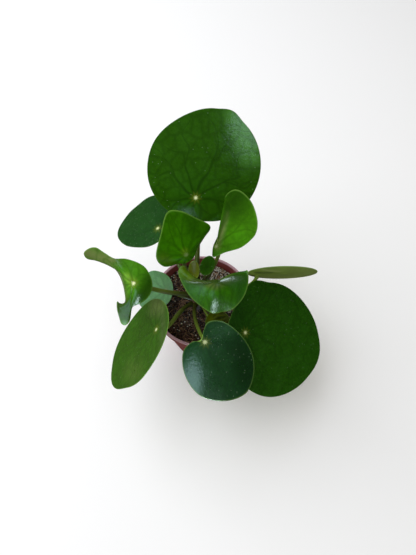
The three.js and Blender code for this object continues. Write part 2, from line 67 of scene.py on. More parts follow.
# joint is where the stalk meets the blade, in mm. A curled blade has its margin given as points from the
# joint, and the way that it faces there. Where the sheet folds on its way to such a point, three more numbers
# say which way it sets out from the joint. skin is a kind of SKINS, navel how much of the pale spot over the
# stalk shows, and handle how far out a rib first runs level, as a share of its reach.
LEAVES = {
    "back_big": dict(
        skin="mature", joint=(-3.5, 41, 172),
        round=Disc(86, 0.28, 75, 36, 0, -4,
                   bulges=[(-17, 2, 16), (38, -3, 52), (120, 1, 40), (190, -2, 30)]),
        stalk=Stalk(107, 98, 10, 18, (4, 14, -19), 2.3),
    ),
    "back_left": dict(
        skin="deep", joint=(-35, 34.5, 140),
        round=Disc(56, 0.31, 129, -22, -14, -2,
                   bulges=[(-38, 3, 35), (8, 1, 30), (50, 3, 40), (118, -2, 40)]),
        stalk=Stalk(96, 140, 12, 14, (8, -3, -18), 1.9),
    ),
    "left_middle": dict(
        skin="grass", navel=0.1, joint=(-9, -15, 182), facing=(0.1, -0.45, 0.87),
        margin=[
            (16, 22, 2), (6, 20, 15), (-3, 20, 22), (-11, 19, 23), (-16, 8, 14),
            (-20, -2, 0), (-16, -3, -10), (-7, 5, -20), (3, 14, -22), (12, 24, -15),
        ],
        stalk=Stalk(102, 128, 22, 22, (-3, 14, -27), 2),
    ),
    "right_middle": dict(
        skin="bright", navel=0.3, joint=(11.5, -2, 172), facing=(-0.45, -0.2, 0.87),
        margin=[
            (27, 3, 12), (28, 9, 17), (24, 21, 23), (17, 28, 26), (12, 31, 24), (7, 30, 19, 4, 17, 12),
            (6, 27, 11, 4, 15, 11), (5, 23, 1, 3, 10, 8), (3, 17, -7, 2, 7, 4), (0, 10, -10, -1, 4, 1),
            (-2, 2, -9, -3, -1, -1), (-2, -5, -6, -2, -3, -1), (6, -5, 0), (17, -4, 5), (24, 0, 9),
        ],
        stalk=Stalk(92, 55, 15, 18, (7, 13, -28), 1.9),
    ),
    "front_middle": dict(
        skin="fresh", navel=0.0, joint=(12, -24.5, 160), facing=(0, 0.3, 0.95), handle=0.4,
        margin=[
            (21, 4, 10, 10, 3, 11), (19, 6, 1, 9, 3, 8), (12, 5, -16, 5, 3, -1), (0, 4, -18),
            (-12, 5, -16), (-19, 7, -5, -14, 1, -1), (-21, 9, 2, -16, -1, 0), (-24, 8, 10, -17, -1, -1),
            (-27, 6, 6, -16, -3, -1), (-25, 1, -2), (-19, -6, -11), (-10, -12, -17), (-3, -16, -18),
            (4, -15, -18), (11, -14, -16), (19, -8, -8), (22, -1, 1, 10, 1, 6),
        ],
        stalk=Stalk(104, -60, 8, 18, (0, -5, -17), 2.2),
    ),
    "left_curled": dict(
        skin="vivid", navel=1.0, joint=(-50.5, -16.5, 142), facing=(-0.1, 0.1, 0.98),
        margin=[
            (13, 3, -8), (7, 16, -4), (-6, 20, 2), (-16, 18, 7, -8, 12, 1), (-23, 22, 9, -13, 15, 3),
            (-29, 25, 11, -15, 17, 4), (-35, 26, 8, -17, 17, 4), (-40, 25, 3, -17, 17, 3),
            (-39, 24, -4, -16, 17, 2), (-30, 24, -7, -15, 15, 1), (-23, 23, -10, -13, 11, 1),
            (-16, 17, -13, -10, 6, 1), (-12, 9, -17, -8, 1, -1), (-10, 1, -20, -6, -4, -3),
            (-9, -8, -20, -5, -10, -7), (-12, -10, -16, -4, -14, -12), (-13, -11, -9, -4, -16, -15),
            (-13, -16, -12, -4, -15, -14), (-12, -20, -16, -4, -14, -13), (-10, -25, -19, -4, -12, -12),
            (-7, -26, -19, -4, -11, -12), (-4, -23, -18, -3, -10, -10), (-3, -17, -15, -2, -10, -7),
            (-2, -14, -12, -1, -8, -4), (5, -11, -11), (11, -5, -10),
        ],
        stalk=Stalk(99, 203, 24, 18, (6, 6, -15), 2.2),
    ),
    "left_pale": dict(
        skin="pale", navel=0.15, joint=(-31, 2, 93),
        round=Disc(30, 0.3, 178, -9, -9, -0.6, 1.15,
                   bulges=[(-67, 2, 40), (40, 3, 40)]),
        stalk=Stalk(83, 176, 10, 3, (2, 1, -6), 1.3),
    ),
    "lower_left": dict(
        skin="olive", joint=(-34, -44.5, 118),
        round=Disc(77, 0.315, 186, -49, 11, 2,
                   bulges=[(-60, -11, 100), (50, 4, 35), (110, 2, 60), (172, 4, 52)]),
        stalk=Stalk(80, 212, 16, 8, (9, -1, -8), 2.1),
    ),
    "bottom": dict(
        skin="blue_green", navel=0.55, joint=(3.5, -58, 128), facing=(-0.1, -0.15, 0.98),
        margin=[
            (-3, 1, 0), (-9, 1, -2), (-16, -5, -6), (-15, -21, -10), (-4, -36, -12), (14, -40, -13),
            (30, -34, -14), (36, -21, -12), (35, -7, -6), (25, 7, 1), (12, 15, 4), (2, 14, 4), (-1, 8, 2),
        ],
        stalk=Stalk(84, 254, 18, 8, (2, 3, -18), 1.8),
    ),
    "right_big": dict(
        skin="dark", navel=0.9, joint=(35.5, -42, 105),
        round=Disc(95, 0.325, 0, -30, 20, 0,
                   bulges=[(-60, -1, 40), (-9, 2, 28), (55, -4, 62), (127, 5, 21)]),
        stalk=Stalk(78, -42, 20, 8, (-6, 4, -10), 2.3),
    ),
    "right_edge": dict(
        skin="olive", joint=(46.5, 4, 117),
        round=Disc(57, 0.36, 0, -1, -72, 2),
        stalk=Stalk(90, 0, 18, 12, (-4, -13, -4), 1.9),
    ),
    "young_front": dict(
        skin="young", navel=0.0, joint=(8, -30, 103),
        round=Disc(20, 0.3, -20, 0, 4, -0.5),
        stalk=Stalk(88, 292, 10, 4, (0, 0, -6), 1.2),
    ),
    "young_dark": dict(
        skin="mature", navel=0.0, joint=(4.7, 3.5, 131),
        round=Disc(16, 0.1, 60, 30, 0, 0.8, 0.7),
        stalk=Stalk(110, 48, 2, 3, (1, 2, -3), 1.1),
    ),
    "young_yellow": dict(
        skin="young", navel=0.0, joint=(-5.5, 2, 127),
        round=Disc(17, 0.1, 90, 58, 0, 1, 0.5),
        stalk=Stalk(110, 128, 2, 3, (0, 3, -2), 1.1),
    ),
}

# Soft patches on a leaf's skin, most of them painted shade, painted light, painted highlights and painted
# reflections, as marked below: from one point to another, in mm from its joint, how far they spread in mm,
# their colour, and how much of it shows.
SKIN_PATCHES_AND_PAINTED_LIGHT = {
    "left_curled": [
        # painted reflection: the olive-grey sheen of the curled-over tongue, seen at a grazing angle
        ((-18, 17, 6), (-38, 25, 4), 11, "#6e7a42", 0.85),
        ((-29, 24, 9), (-28, 24, 9), 2, "#3a4a18", 0.6),
        # painted highlight: a pale band along the ridge of the fold
        ((-14, 12, 0), (-11, 4, -12), 4, "#a9b98c", 0.55),
        ((-5, 5, 1), (-1, 1, 0), 6, "#a4d84a", 0.6),
        # painted light: brighter green where the blade faces the light
        ((-3, 12, 1), (0, 16, 0), 8, "#58a01a", 0.5),
        # painted shade: the lower right part, which faces away from the light
        ((5, -9, -6), (11, 5, -6), 11, "#184003", 0.75),
        # painted shade inside the curled pocket at the lower end
        ((-6, -12, -10), (-5, -20, -16), 9, "#26380c", 0.9),
        ((-13, -12, -10), (-11, -20, -15), 9, "#3c5420", 0.9),
        # painted highlight: a pale glint at the tip of that pocket
        ((-7, -26, -19), (-7, -26, -19), 5, "#8db490", 0.6),
    ],
    "front_middle": [
        # painted reflection: the dim olive sheen along the top fold, seen at a grazing angle
        ((-16, 1, 2), (-1, -1, 0), 7, "#56622c", 0.8),
        ((-1, -1, 0), (12, 2, 6), 7, "#56622c", 0.8),
        # painted shade over the right end of the fold
        ((14, 2, 7), (20, 3, 5), 8, "#2c560c", 0.8),
        # painted light: yellower, lighter green on the left, which faces the light
        ((-25, 8, 9), (-20, 5, 3), 9, "#6c8a0c", 0.6),
        # painted shade on the right, which faces away from the light
        ((16, -4, 0), (18, -8, -6), 11, "#1c4c02", 0.7),
    ],
    "right_middle": [
        # painted reflection: a pinkish grey-olive grazing sheen from the fold to the joint
        ((8, 19, 12), (1, -1, 0), 4, "#7c7e50", 0.55),
        # painted shade over the top of the blade
        ((10, 25, 18), (15, 30, 23), 25, "#163402", 0.9),
        # painted light: a brighter green patch on the lower part
        ((21, 2, 8), (14, 4, 7), 9, "#46900a", 0.4),
    ],
    "left_middle": [
        ((5, 15, 10), (3, 19, 14), 11, "#215204", 0.6),
        ((-16, -2, 0), (-10, -3, -7), 7, "#4c6404", 0.5),
        ((-1, 2, 1), (-1, 2, 1), 4, "#8cae28", 0.5),
    ],
    "lower_left": [
        # painted reflection: the grey-olive sheen along the right edge, seen at a grazing angle
        ((5, 12, 5), (8, -14, 11), 8, "#4c5c34", 0.5),
        # painted light over the part that lies in the shadow of the leaf above
        ((-4, 23, -5), (2, 20, 0), 14, "#6c8440", 0.7),
        ((-24, -24, -18), (-14, -32, -10), 16, "#4c6a24", 0.5),
    ],
    "right_edge": [
        # painted shade: the dark wedge of the edge-on blade
        ((-2, -3, 9), (9, -3, 12), 4, "#3d4c10", 0.75),
        # painted highlight: a pale olive streak
        ((3, -4, 18), (16, -5, 15), 3, "#a9b46c", 0.6),
    ],
    # painted shade: the whole blade lies in the shade of the leaves above it
    "young_front": [((0, 0, 0), (8, -3, 0), 40, "#1c2401", 1.0)],
    "bottom": [
        ((26, -4, -3), (30, -22, -12), 16, "#0c2808", 0.8),
        # painted shade over the upper right part
        ((8, 8, 2), (16, 10, 3), 9, "#1c4a1c", 0.5),
    ],
    "right_big": [((-8, 24, 8), (-6, -10, 4), 22, "#153f04", 0.6)],
    "back_big": [
        ((10, 4, 0), (-8, 4, 2), 26, "#225004", 0.5),
        # painted highlight: the bluish-green sheen along the upper right edge
        ((30, 50, 32), (42, 24, 20), 15, "#4f8a34", 0.6),
    ],
}

# Kinds of leaf skin: colour, slot, looks, share of specks, brightness of the veins, strength of the painted
# highlight along the margin, roughness and IOR. A bloom of wax scatters more light and dulls the shine.
SKINS = {
    "mature": ("#234d02", "green", "mature green", 0.03, 0.35, 0.1, 0.2, 1.28),
    "dark": ("#205002", "green", "shaded green", 0.03, 0.6, 0.15, 0.26, 1.4),
    "vivid": ("#478610", "bright_green", "vivid green", 0.0, 0.5, 0.35, 0.24, 1.32),
    "bright": ("#3d7609", "bright_green", "bright green", 0.0, 0.5, 0.35, 0.5, 1.1),
    "fresh": ("#2f6803", "bright_green", "fresh green", 0.0, 0.4, 0.4, 0.27, 1.24),
    "grass": ("#336e02", "bright_green", "grass green", 0.0, 0.4, 0.4, 0.4, 1.06),
    "blue_green": ("#123a14", "deep_green", "blue-green with specks", 0.12, 0.7, 0.3, 0.28, 1.5),
    "deep": ("#20481a", "deep_green", "deep green with specks", 0.2, 0.7, 0.15, 0.3, 1.35),
    # partly the young leaf's own pale green and partly a painted sheen: its pale, bluish tint
    "pale": ("#629660", "pale_green", "pale with specks", 0.4, 0.6, 0.1, 0.42, 1.55),
    "olive": ("#2c5a08", "green", "greyed green", 0.05, 0.6, 0.3, 0.3, 1.4),
    "young": ("#667206", "young", "young yellow-olive", 0.0, 0.6, 0.2, 0.3, 1.12),
}

# A blade's rings, as shares of the way from the joint to the margin
RINGS = np.array([
    0.02, 0.045, 0.08, 0.12, 0.17, *np.arange(0.22, 0.83, 0.06), 0.87, 0.91, 0.945, 0.97, 0.988, 1.0,
])
MARGIN_ANGLES = (50, 15, -15, -50)  # degrees round the edge, from the upper to the lower skin
FLAT_MIDDLE = 0.12  # the share of the way out where the blade stops facing one way
EVENING_PASSES = 14
SPLINE_STEPS = 24
DIMPLE = 0.25  # the upper skin sinks so far over the stalk, in mm
YOUNG_THINNESS = 0.8
PLAN_MM = 200.0  # one unit of the veins' plan, in mm
HANDLE, NAVEL = 0.45, 0.8  # where a leaf gives none
MAIN_VEINS = 9
FORK_FROM = 0.45  # the share of the way out where a main vein forks

# Stem, stalks, pot and compost, in mm
STEM_FOOT = Vector((-5, -3, 54.3))
STEM_TOP = Vector((-2, -2, 114))
STEM_RADII = (6.0, 4.4)  # foot, top
STEM_SCARS = 11
STALK_END = 0.35  # under the middle of the blade
FOOT_FLARE, BLADE_FLARE = 0.35, 0.3  # as shares of a stalk's radius
RIM_RADIUS, BASE_RADIUS, POT_HEIGHT = 45.0, 31.0, 78.0
SKIRT_RADIUS, SKIRT_HEIGHT = 41.6, 64.0
WALL, FLOOR = 1.3, 1.6
# the top of the pot's lip is painted paler: a painted sheen
LIP_SHEEN_BAND = ((POT_HEIGHT - 1.5) * MM, (POT_HEIGHT - 0.1) * MM)  # heights between which the lip pales
DRAIN_HOLES, HOLE_RADIUS, HOLE_REACH, HOLE_DEPTH = 6, 3.0, 21.0, (-2.0, 4.0)
SOIL_LEVEL, SOIL_FLOOR = 70.0, 1.9

# The stage, in metres. Lamps: name, place, width, height, power, colour, and whether only shine sees it.
LAMPS = [
    ("window", (-0.85, 0.27, 1.05), 1.7, 1.7, 22.5, "#f2f6ff", False),
    ("side glint", (-0.085, -0.135, 0.2), 0.09, 0.09, 0.13, "#ccf2ff", True),
    ("high glint", (0.048, 0.034, 0.405), 0.08, 0.08, 0.15, "#d2f0ff", True),
    ("low glint", (-0.005, -0.155, 0.118), 0.05, 0.03, 0.26, "#e0f4ff", True),
    ("soft top", (0.1, -0.2, 1.6), 1.3, 1.3, 4.5, "#fffaf2", False),
]
LAMP_AIM = Vector((0, 0, 0.11))
FLOOR_HALF = 4000  # mm
CAMERA_PLACE = (0.0057, -0.1642, 0.4357)
CAMERA_DOWN = 62.5  # degrees below level
FOCAL_PX, FRAME_PX = 435, 555  # focal length, and the height of the frame
SENSOR = 36


def linear(hexcode):
    """A colour from its sRGB hex value."""
    channels = [int(hexcode[i : i + 2], 16) / 255 for i in (1, 3, 5)]
    return tuple(c / 12.92 if c <= 0.04045 else ((c + 0.055) / 1.055) ** 2.4 for c in channels)


# Sizes and colours that a user would change.


def setting(kind, name, description, default, **more):
    return kind(name=name, description=description, default=default, min=0, **more)


def length(name, description, mm):
    return setting(bpy.props.FloatProperty, name, description, mm * MM, unit="LENGTH", precision=5)


def colour(name, description, hexcode):
    return setting(
        bpy.props.FloatVectorProperty, name, description, linear(hexcode), size=3, max=1, subtype="COLOR"
    )


def amount(name, description, default):
    return setting(bpy.props.IntProperty, name, description, default)


class BladeSettings(bpy.types.PropertyGroup):
    thickness: length("Thickness", "Thickness of a blade at its stalk", 1.1)
    ribs: amount("Ribs", "Points round a blade's margin", 132)
    vein_depth: setting(bpy.props.FloatProperty, "Vein depth", "How deep the veins are pressed in", 0.3, max=1)
    navel: colour("Navel", "Whitish spot over the stalk", "#e6efb4")
    halo: colour("Navel halo", "Olive ring round that spot", "#7d8c22")
    speck: colour("Specks", "Pale specks of salt and breathing pores", "#b9d2b0")
    # rim: painted highlight along each blade's margin
    rim: colour("Rim", "Light line round a blade", "#7da848")
    under: colour("Underside", "Pale matt underside", "#76902e")


BladeSettings.__annotations__.update({
    kind: colour(looks.capitalize(), "Leaf skin: " + looks, hexcode)
    for kind, (hexcode, _, looks, *_) in SKINS.items()
})


class StalkSettings(bpy.types.PropertyGroup):
    sides: amount("Sides", "Sides of a stalk", 20)
    steps: amount("Steps", "Steps along a stalk", 48)
    green: colour("Stalk green", "Upper part of a stalk", "#6c8426")
    # brown: the stalk's own browner foot, darkened further as painted shade
    brown: colour("Stalk brown", "Foot of a stalk, browner and darkened as painted shade", "#2e3206")


class StemSettings(bpy.types.PropertyGroup):
    bark: colour("Bark", "Brown of the stem", "#3c2a1c")
    scar: colour("Scars", "Paler ridges of the old leaf scars", "#6b543a")


class PotSettings(bpy.types.PropertyGroup):
    rim_radius: length("Rim radius", "Outer radius of the rim", RIM_RADIUS)
    base_radius: length("Base radius", "Outer radius of the base", BASE_RADIUS)
    height: length("Height", "Height of the pot", POT_HEIGHT)
    lip: length("Lip", "Width of the rim's top", 2.4)
    plastic: colour("Plastic", "Terracotta-coloured plastic", "#8a3c3a")
    # painted sheen on the top of the lip
    lip_sheen: colour("Lip sheen", "Painted sheen on the top of the lip", "#cca2b0")


class SoilSettings(bpy.types.PropertyGroup):
    lumps: amount("Lumps", "Peat crumbs a square metre", 260000)
    fibres: amount("Fibres", "Fibres a square metre", 110000)
    grit: amount("Grit", "Grit grains a square metre", 520000)
    peat: colour("Peat", "Damp peat", "#1d130f")
    crumb: colour("Crumbs", "Drier crumbs", "#4c3024")
    fibre: colour("Fibre", "Dry root and coir fibres", "#a07c5c")
    stone: colour("Grit", "Pale grit", "#d4cfc4")


class StageSettings(bpy.types.PropertyGroup):
    floor: colour("Floor", "Plain pale floor", "#f8f7f4")
    table: colour("Mirrored floor", "Warm tone of the floor in the leaves' shine", "#6c5248")


SETTINGS = {
    "money_plant_blades": BladeSettings, "money_plant_stalks": StalkSettings, "money_plant_stem": StemSettings,
    "money_plant_pot": PotSettings, "money_plant_soil": SoilSettings, "money_plant_stage": StageSettings,
}


# Meshes.


def placed(name, data):
    """A new object of the scene with that data."""
    made = bpy.data.objects.new(name, data)
    bpy.context.scene.collection.objects.link(made)
    return made


def mesh_piece(name, points, faces, materials, indices=None):
    """A smooth mesh object from points in mm and lists of corner numbers."""
    mesh = bpy.data.meshes.new(name)
    mesh.from_pydata([tuple(p) for p in np.asarray(points) * MM], [], faces)
    for m in materials:
        mesh.materials.append(m)
    if indices is not None:
        mesh.polygons.foreach_set("material_index", indices)
    mesh.shade_smooth()
    mesh.update()
    return placed(name, mesh)


def settled_mesh(thing):
    """The object's mesh with its modifiers worked in."""
    bpy.context.view_layer.update()
    return bpy.data.meshes.new_from_object(thing.evaluated_get(bpy.context.evaluated_depsgraph_get()))


def point_values(piece, name, values, kind="FLOAT", key="value"):
    """A number or a colour on each point of the piece, for its material to read."""
    layer = piece.data.attributes.new(name, kind, "POINT")
    layer.data.foreach_set(key, np.asarray(values, np.float32).ravel())


def point_patches_and_painted_light(piece, name, points, joint):
    """The leaf's soft patches, most of them painted shade, light, highlights and reflections: a premultiplied
    colour with its share on each point of the piece.
    """
    tones = np.zeros((len(points), 4))
    offsets = np.asarray(points) - joint
    for start, end, spread, hexcode, shown in SKIN_PATCHES_AND_PAINTED_LIGHT.get(name, []):
        start, line = np.array(start, float), np.subtract(end, start)
        t = np.clip((offsets - start) @ line / max(line @ line, 1e-9), 0, 1)
        away = np.linalg.norm(offsets - start - t[:, None] * line, axis=1)
        near = np.clip(1 - away / spread, 0, 1)
        cover = (shown * near * near * (3 - 2 * near))[:, None]
        tones = tones * (1 - cover) + np.array([*linear(hexcode), 1]) * cover
    point_values(piece, "tone", tones, "FLOAT_COLOR", "color")


def point_plan(piece, plan):
    """A UV map from one (u, v) a point."""
    layer = piece.data.uv_layers.new(name="plan")
    corners = np.empty(len(piece.data.loops), np.int32)
    piece.data.loops.foreach_get("vertex_index", corners)
    layer.data.foreach_set("uv", np.asarray(plan, np.float32)[corners].ravel())


def hand_over(piece, slot, *nodes):
    """The piece rides on the plant and stands for those CAD nodes."""
    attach(piece, "root")
    if nodes:
        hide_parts(*nodes)


def circle(radius, height, sides, x=0.0, y=0.0):
    """Points of a level ring, anticlockwise from above."""
    turns = [2 * pi * i / sides for i in range(sides)]
    return [(x + radius * cos(a), y + radius * sin(a), height) for a in turns]


def shell_faces(n, rows, turned=False):
    """Faces of a closed body: point 0, then rows of n points, and a last point, all seen from outside.

    An anticlockwise first row faces up, or down where the faces are turned."""
    faces = [(0, 1 + i, 1 + (i + 1) % n) for i in range(n)]
    for a in range(1, (rows - 1) * n + 1, n):
        faces += [(a + i, a + n + i, a + n + (i + 1) % n, a + (i + 1) % n) for i in range(n)]
    end = 1 + rows * n
    faces += [(end, end - n + (i + 1) % n, end - n + i) for i in range(n)]
    return [f[::-1] for f in faces] if turned else faces


# Nodes. All but add give the socket that comes out.


def add(tree, kind, inputs=None, **settings):
    """Adds a node. Its inputs are values, or outputs to link, by name or number."""
    made = tree.nodes.new(kind)
    for key, value in settings.items():
        setattr(made, key, value)
    for key, value in (inputs or {}).items():
        if isinstance(value, bpy.types.NodeSocket):
            tree.links.new(value, made.inputs[key])
        else:
            made.inputs[key].default_value = value
    return made


def calc(tree, operation, a, b=0.0, c=0.0):
    return add(tree, "ShaderNodeMath", {0: a, 1: b, 2: c}, operation=operation).outputs[0]


def times(tree, a, b, more=0.0):
    """a times b, with more added."""
    return calc(tree, "MULTIPLY_ADD", a, b, more)


def vec(tree, operation, a, b=(0, 0, 0), c=(0, 0, 0), scale=1.0, output=0):
    inputs = {0: a, 1: b, 2: c, 3: scale}
    return add(tree, "ShaderNodeVectorMath", inputs, operation=operation).outputs[output]


def ramp(tree, value, across, shown=(0.0, 1.0), how="LINEAR"):
    """The value's way across the first two numbers, laid out between the other two."""
    inputs = {0: value, 1: across[0], 2: across[1], 3: shown[0], 4: shown[1]}
    return add(tree, "ShaderNodeMapRange", inputs, interpolation_type=how).outputs[0]


def mix(tree, part, first, second):
    return add(tree, "ShaderNodeMix", {0: part, 6: first, 7: second}, data_type="RGBA").outputs[2]


def noise(tree, place, scale, detail, rough=0.5, output=0):
    inputs = {"Vector": place, "Scale": scale, "Detail": detail, "Roughness": rough}
    return add(tree, "ShaderNodeTexNoise", inputs).outputs[output]


def read(tree, name, output="Fac"):
    return add(tree, "ShaderNodeAttribute", attribute_name=name).outputs[output]


def spot_on(tree):
    """Where a point is on the object, in metres."""
    return add(tree, "ShaderNodeTexCoord").outputs["Object"]


def parts(tree, vector):
    return add(tree, "ShaderNodeSeparateXYZ", {0: vector}).outputs


def bump(tree, height, strength, distance_mm):
    inputs = {"Strength": strength, "Distance": distance_mm * MM, "Height": height}
    return add(tree, "ShaderNodeBump", inputs).outputs[0]


def new_material(name):
    """An empty material with its tree."""
    m = bpy.data.materials.new(name)
    m.use_nodes = True
    m.node_tree.nodes.clear()
    return m, m.node_tree


def shade(tree, tint, rough, **others):
    """Ends a material with its shader. Underscores in the names of other inputs stand for spaces."""
    inputs = {"Base Color": tint, "Roughness": rough}
    inputs.update((name.replace("_", " "), value) for name, value in others.items())
    shader = add(tree, "ShaderNodeBsdfPrincipled", inputs)
    add(tree, "ShaderNodeOutputMaterial", {0: shader.outputs[0]})


def solid(rgb, gain=1.0):
    return tuple(min(1.0, c * gain) for c in rgb) + (1.0,)


def with_patches_and_painted_light(tree, tint):
    """The tint with the piece's soft patches laid over it, most of them painted shade, light, highlights and
    reflections.
    """
    left = calc(tree, "SUBTRACT", 1.0, read(tree, "tone", "Alpha"))
    return vec(tree, "MULTIPLY_ADD", tint, left, read(tree, "tone", "Color"))


def new_tree(name, numbers, counts):
    """Geometry nodes with those numbers to set: the tree and what comes in."""
    tree = bpy.data.node_groups.new(name, "GeometryNodeTree")
    given = [("Geometry", "Geometry"), *((n, "Float") for n in numbers), *((n, "Int") for n in counts)]
    for label, kind in given:
        tree.interface.new_socket(label, in_out="INPUT", socket_type="NodeSocket" + kind)
    tree.interface.new_socket("Geometry", in_out="OUTPUT", socket_type="NodeSocketGeometry")
    return tree, add(tree, "NodeGroupInput").outputs


def come_out(tree, geometry, material):
    """Ends geometry nodes with that geometry in that material."""
    done = add(tree, "GeometryNodeSetMaterial", {"Geometry": geometry, "Material": material})
    add(tree, "NodeGroupOutput", {0: done.outputs[0]})


def made_by_nodes(name, source, tree, values):
    """A plain mesh piece: what the tree makes of the source object with those inputs."""
    modifier = source.modifiers.new("shape", "NODES")
    modifier.node_group = tree
    for socket in tree.interface.items_tree:
        if socket.in_out == "INPUT" and socket.name in values:
            modifier[socket.identifier] = values[socket.name]
    mesh = settled_mesh(source)
    mesh.name = name
    bpy.data.objects.remove(source)
    return placed(name, mesh)


# Materials.


def leaf_skin(kind, s):
    """Waxy upper skin of a fleshy leaf: a soft, wide shine, with the veins pressed in."""
    _, _, looks, specks, vein_gain, margin_highlight_share, dull, wax = SKINS[kind]
    skin = getattr(s, kind)
    material, t = new_material("waxy leaf skin, " + looks)
    plan = add(t, "ShaderNodeUVMap", uv_map="plan").outputs[0]
    # millimetres from the joint, along the ribs
    flat = vec(t, "SCALE", vec(t, "SUBTRACT", plan, (0.5, 0.5, 0)), scale=PLAN_MM)
    reach = vec(t, "LENGTH", flat, output=1)
    x, y, _ = parts(t, flat)
    wander = times(t, noise(t, flat, 0.035, 1), 1.2, -0.6)
    bent = calc(t, "ADD", calc(t, "ARCTAN2", y, x), wander)
    # each main vein forks half way out, so that the forks of two neighbours meet near the rim
    sector = 2 * pi / MAIN_VEINS
    across = calc(t, "ABSOLUTE", calc(t, "WRAP", bent, sector / 2, -sector / 2))
    way_out = read(t, "share")
    fork = times(t, calc(t, "MAXIMUM", calc(t, "SUBTRACT", way_out, FORK_FROM)), sector * 0.8)
    away = times(t, calc(t, "ABSOLUTE", calc(t, "SUBTRACT", across, fork)), reach)
    width = times(t, way_out, -0.7, 1.7)
    main = ramp(t, calc(t, "DIVIDE", away, width), (0, 1.4), (1, 0), "SMOOTHSTEP")
    main = times(t, main, times(t, way_out, -0.6, 1))
    # net of fine veins, about 11 mm apart
    loose = vec(t, "MULTIPLY_ADD", noise(t, flat, 0.2, 1, output=1), (3, 3, 0), flat)
    cells = add(t, "ShaderNodeTexVoronoi", {"Vector": loose, "Scale": 0.09}, feature="DISTANCE_TO_EDGE",
                voronoi_dimensions="2D").outputs[0]
    veins = calc(t, "MAXIMUM", main, ramp(t, cells, (0, 0.2), (0.4, 0), "SMOOTHSTEP"))

    # broad clouds, and puckers of the fleshy skin some 2.5 mm across, with finer ones on them
    cloud = noise(t, flat, 0.06, 5, 0.62)
    puckers = noise(t, flat, 0.42, 3, 0.55)
    mottle = times(t, cloud, 1.6, times(t, puckers, 1.2, -0.9))
    # the leaf's patches go on here: painted shade, light, highlights and reflections, and some of its own colour
    tint = with_patches_and_painted_light(t, mix(t, mottle, solid(skin, 0.72), solid(skin, 1.25)))
    tint = mix(t, times(t, veins, 0.75), tint, solid(skin, vein_gain))
    # specks are drawn 0.5 mm wide so that they show
    dots = add(t, "ShaderNodeTexVoronoi", {"Vector": flat, "Scale": 0.45}, voronoi_dimensions="2D").outputs
    lucky = calc(t, "GREATER_THAN", parts(t, dots[1])[0], 1 - specks)
    dot = times(t, ramp(t, dots[0], (0.05, 0.15), (1, 0)), lucky)
    tint = mix(t, times(t, dot, 0.3), tint, solid(s.speck))
    # painted highlight along the margin
    tint = mix(t, ramp(t, read(t, "margin"), (0.05, 0.5), (margin_highlight_share, 0)), tint, solid(s.rim))
    # the rays of the navel run out along the main veins
    near = calc(t, "DIVIDE", reach, times(t, ramp(t, across, (0, 0.3), (1, 0)), 0.7, 1))
    for reaches, most, paint in (((1, 4), 0.45, s.halo), ((0.5, 1.5), 1, s.navel)):
        spot = times(t, ramp(t, near, reaches, (most, 0)), read(t, "navel"))
        tint = mix(t, spot, tint, solid(paint))

    relief = bump(t, times(t, veins, -0.16, puckers), s.vein_depth, 0.6)
    shade(t, tint, ramp(t, cloud, (0.3, 0.7), (dull - 0.03, dull + 0.05)), IOR=wax, Normal=relief,
          Subsurface_Weight=0.08, Subsurface_Radius=(0.3, 1.0, 0.1), Subsurface_Scale=0.0008)
    return material


def leaf_underside(s):
    """Matt underside of a leaf: paler and greyer than the top, with a faint mottle."""
    material, t = new_material("matt leaf underside")
    mottle = noise(t, add(t, "ShaderNodeUVMap", uv_map="plan").outputs[0], 14, 4)
    # the same patches on the underside, with painted shade and light among them
    tint = with_patches_and_painted_light(t, mix(t, mottle, solid(s.under, 0.75), solid(s.under, 1.25)))
    # painted highlight along the margin
    tint = mix(t, ramp(t, read(t, "margin"), (0.1, 0.9), (0.5, 0)), tint, solid(s.rim))
    shade(t, tint, 0.55, IOR=1.4, Normal=bump(t, mottle, 0.3, 0.5))
    return material


def stalk_skin(green, brown):
    """Smooth juicy stalk: green above, browner and duller at its foot, which is also darkened as painted shade."""
    material, t = new_material("juicy leaf stalk")
    mottle = noise(t, spot_on(t), 160, 3)
    # browner towards the foot, and darker there as painted shade
    upness = ramp(t, times(t, mottle, 0.35, read(t, "along")), (0.25, 1))
    shade(t, mix(t, upness, solid(brown), solid(green)), 0.42, IOR=1.42, Normal=bump(t, mottle, 0.25, 0.3))
    return material


def stem_bark(bark, scar):
    """Corky young bark, brown and matt, paler along the old leaf scars."""
    material, t = new_material("corky stem bark")
    cork = noise(t, spot_on(t), 420, 5)
    ridge = ramp(t, times(t, read(t, "ridge"), cork), (0.2, 0.6))
    shade(t, mix(t, ridge, solid(bark), solid(scar)), 0.85, Normal=bump(t, cork, 0.7, 0.6))
    return material


def pot_plastic(plastic, lip_sheen):
    """Terracotta-red moulded polypropylene with a soft sheen and flow marks, and a painted sheen on the top of its
    lip.
    """
    material, t = new_material("moulded terracotta polypropylene")
    place = spot_on(t)
    tall = add(t, "ShaderNodeMapping", {"Vector": place, "Scale": (1.0, 1.0, 0.12)}).outputs[0]
    flow = noise(t, tall, 70, 4)
    tint = mix(t, flow, solid(plastic, 0.86), solid(plastic, 1.12))
    # painted sheen: the top of the lip is painted paler and pinker
    tint = mix(t, ramp(t, parts(t, place)[2], LIP_SHEEN_BAND, (0, 0.8)), tint, solid(lip_sheen))
    grain = bump(t, noise(t, place, 900, 2), 0.15, 0.2)
    shade(t, tint, ramp(t, flow, (0.3, 0.7), (0.36, 0.5)), IOR=1.49, Normal=grain)
    return material


def earthy(name, dark, light, scale, rough):
    """A dull, broken surface such as peat or grit, mottled at that scale."""
    material, t = new_material(name)
    mottle = noise(t, spot_on(t), scale, 4)
    tint = mix(t, ramp(t, mottle, (0.4, 0.66)), solid(dark), solid(light))
    shade(t, tint, rough, Normal=bump(t, mottle, 0.6, 0.5))
    return material


# Leaf shapes.


